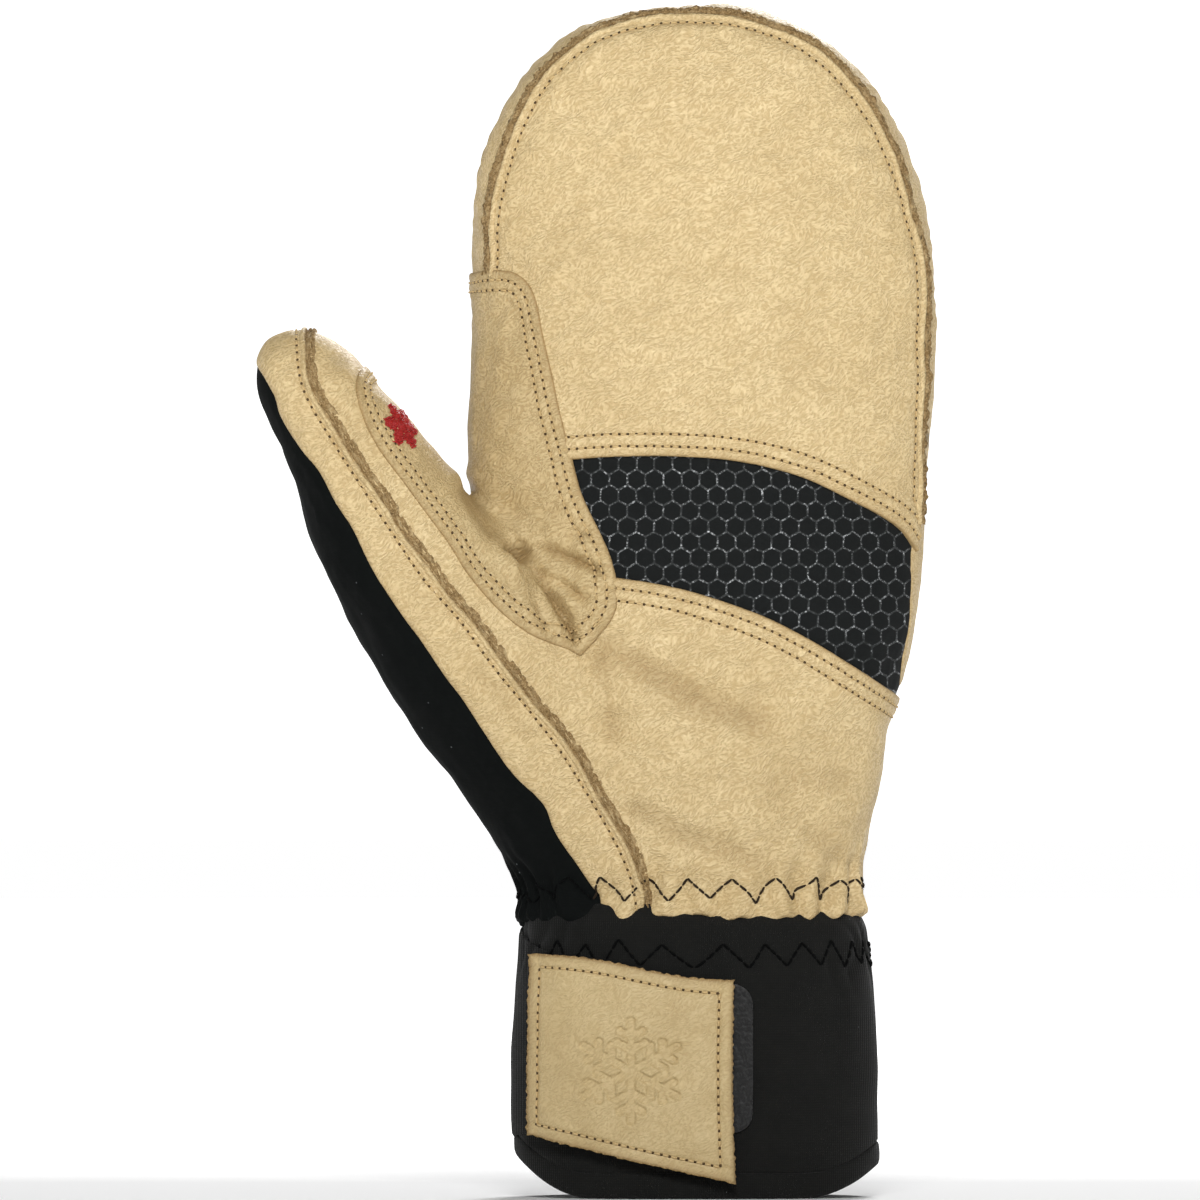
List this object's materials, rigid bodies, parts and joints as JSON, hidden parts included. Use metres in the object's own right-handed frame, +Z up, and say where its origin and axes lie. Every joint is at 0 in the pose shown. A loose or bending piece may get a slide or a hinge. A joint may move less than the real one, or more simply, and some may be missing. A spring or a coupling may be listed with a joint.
{
  "type": "ski mitten",
  "caption": "Insulated left-hand ski mitten with a leather palm, black softshell back, hexagon-print grip band, stretch cuff and hook-and-loop wrist strap.",
  "frame": {"origin": "middle of the mitten's outline seen from above, at the bottom of the cuff hem", "axes": "+Z up from the cuff to the fingertips, -Y out of the palm, thumb on the -X side"},
  "size_m": [0.17, 0.0706, 0.2983],
  "materials": {
    "leather_tan": "fine-grained tan goat leather, satin",
    "softshell_black": "matte black woven softshell",
    "grip_black": "black suede printed with silver-grey hexagons",
    "insulation": "white polyester wadding",
    "fleece_lining": "dark grey brushed fleece",
    "elastic_tape": "woven elastic tape",
    "cuff_neoprene": "black ribbed stretch jersey over neoprene",
    "loop_fabric": "black brushed loop pile",
    "hook_tape": "black moulded hook tape",
    "strap_webbing": "black neoprene tab",
    "patch_leather": "embossed tan leather with raw edges",
    "embroidery_red": "red satin-stitch embroidery"
  },
  "bodies": {
    "hand": {"saddle_web": "leather_tan", "grip_band": "grip_black", "palm_heel_panel": "leather_tan", "thenar_panel": "leather_tan", "little_finger_side_panel": "leather_tan", "back_hand_panel": "softshell_black", "hand_insulation_palm": "insulation", "hand_insulation_back": "insulation", "hand_lining": "fleece_lining", "wrist_elastic": "elastic_tape", "cuff_shell": "cuff_neoprene", "cuff_fleece": "fleece_lining", "cuff_hem": "cuff_neoprene", "loop_pad": "loop_fabric", "strap_anchor": "cuff_neoprene"},
    "fingers": {"palm_finger_panel": "leather_tan", "saddle_index_side": "leather_tan", "fingertip_wrap": "leather_tan", "finger_back_panel": "softshell_black", "finger_insulation_palm": "insulation", "finger_insulation_back": "insulation", "finger_lining": "fleece_lining"},
    "thumb": {"thumb_saddle_panel": "leather_tan", "thumb_palm_tongue": "leather_tan", "thumb_outer_panel": "leather_tan", "thumb_back_panel": "softshell_black", "thumb_insulation": "insulation", "thumb_lining": "fleece_lining", "thumb_emblem": "embroidery_red"},
    "strap": {"closure_strap": "strap_webbing", "strap_patch": "patch_leather", "hook_pad": "hook_tape"}
  },
  "joints": [
    {"name": "finger_flex", "type": "hinge", "parent": "hand", "child": "fingers", "pos_m": [0.02315, -0.02333, 0.175], "axis": [0.9793, 0, -0.2027], "range_deg": [0, 50], "stiffness_Nm_per_rad": 0.15},
    {"name": "thumb_flex", "type": "hinge", "parent": "hand", "child": "thumb", "pos_m": [-0.0484, -0.0348, 0.1661], "axis": [0.8351, 0, 0.5501], "range_deg": [0, 35], "stiffness_Nm_per_rad": 0.08},
    {"name": "strap_open", "type": "hinge", "parent": "hand", "child": "strap", "pos_m": [-0.01535, -0.01683, 0.037], "axis": [0, 0, -1], "range_deg": [0, 110]}
  ]
}
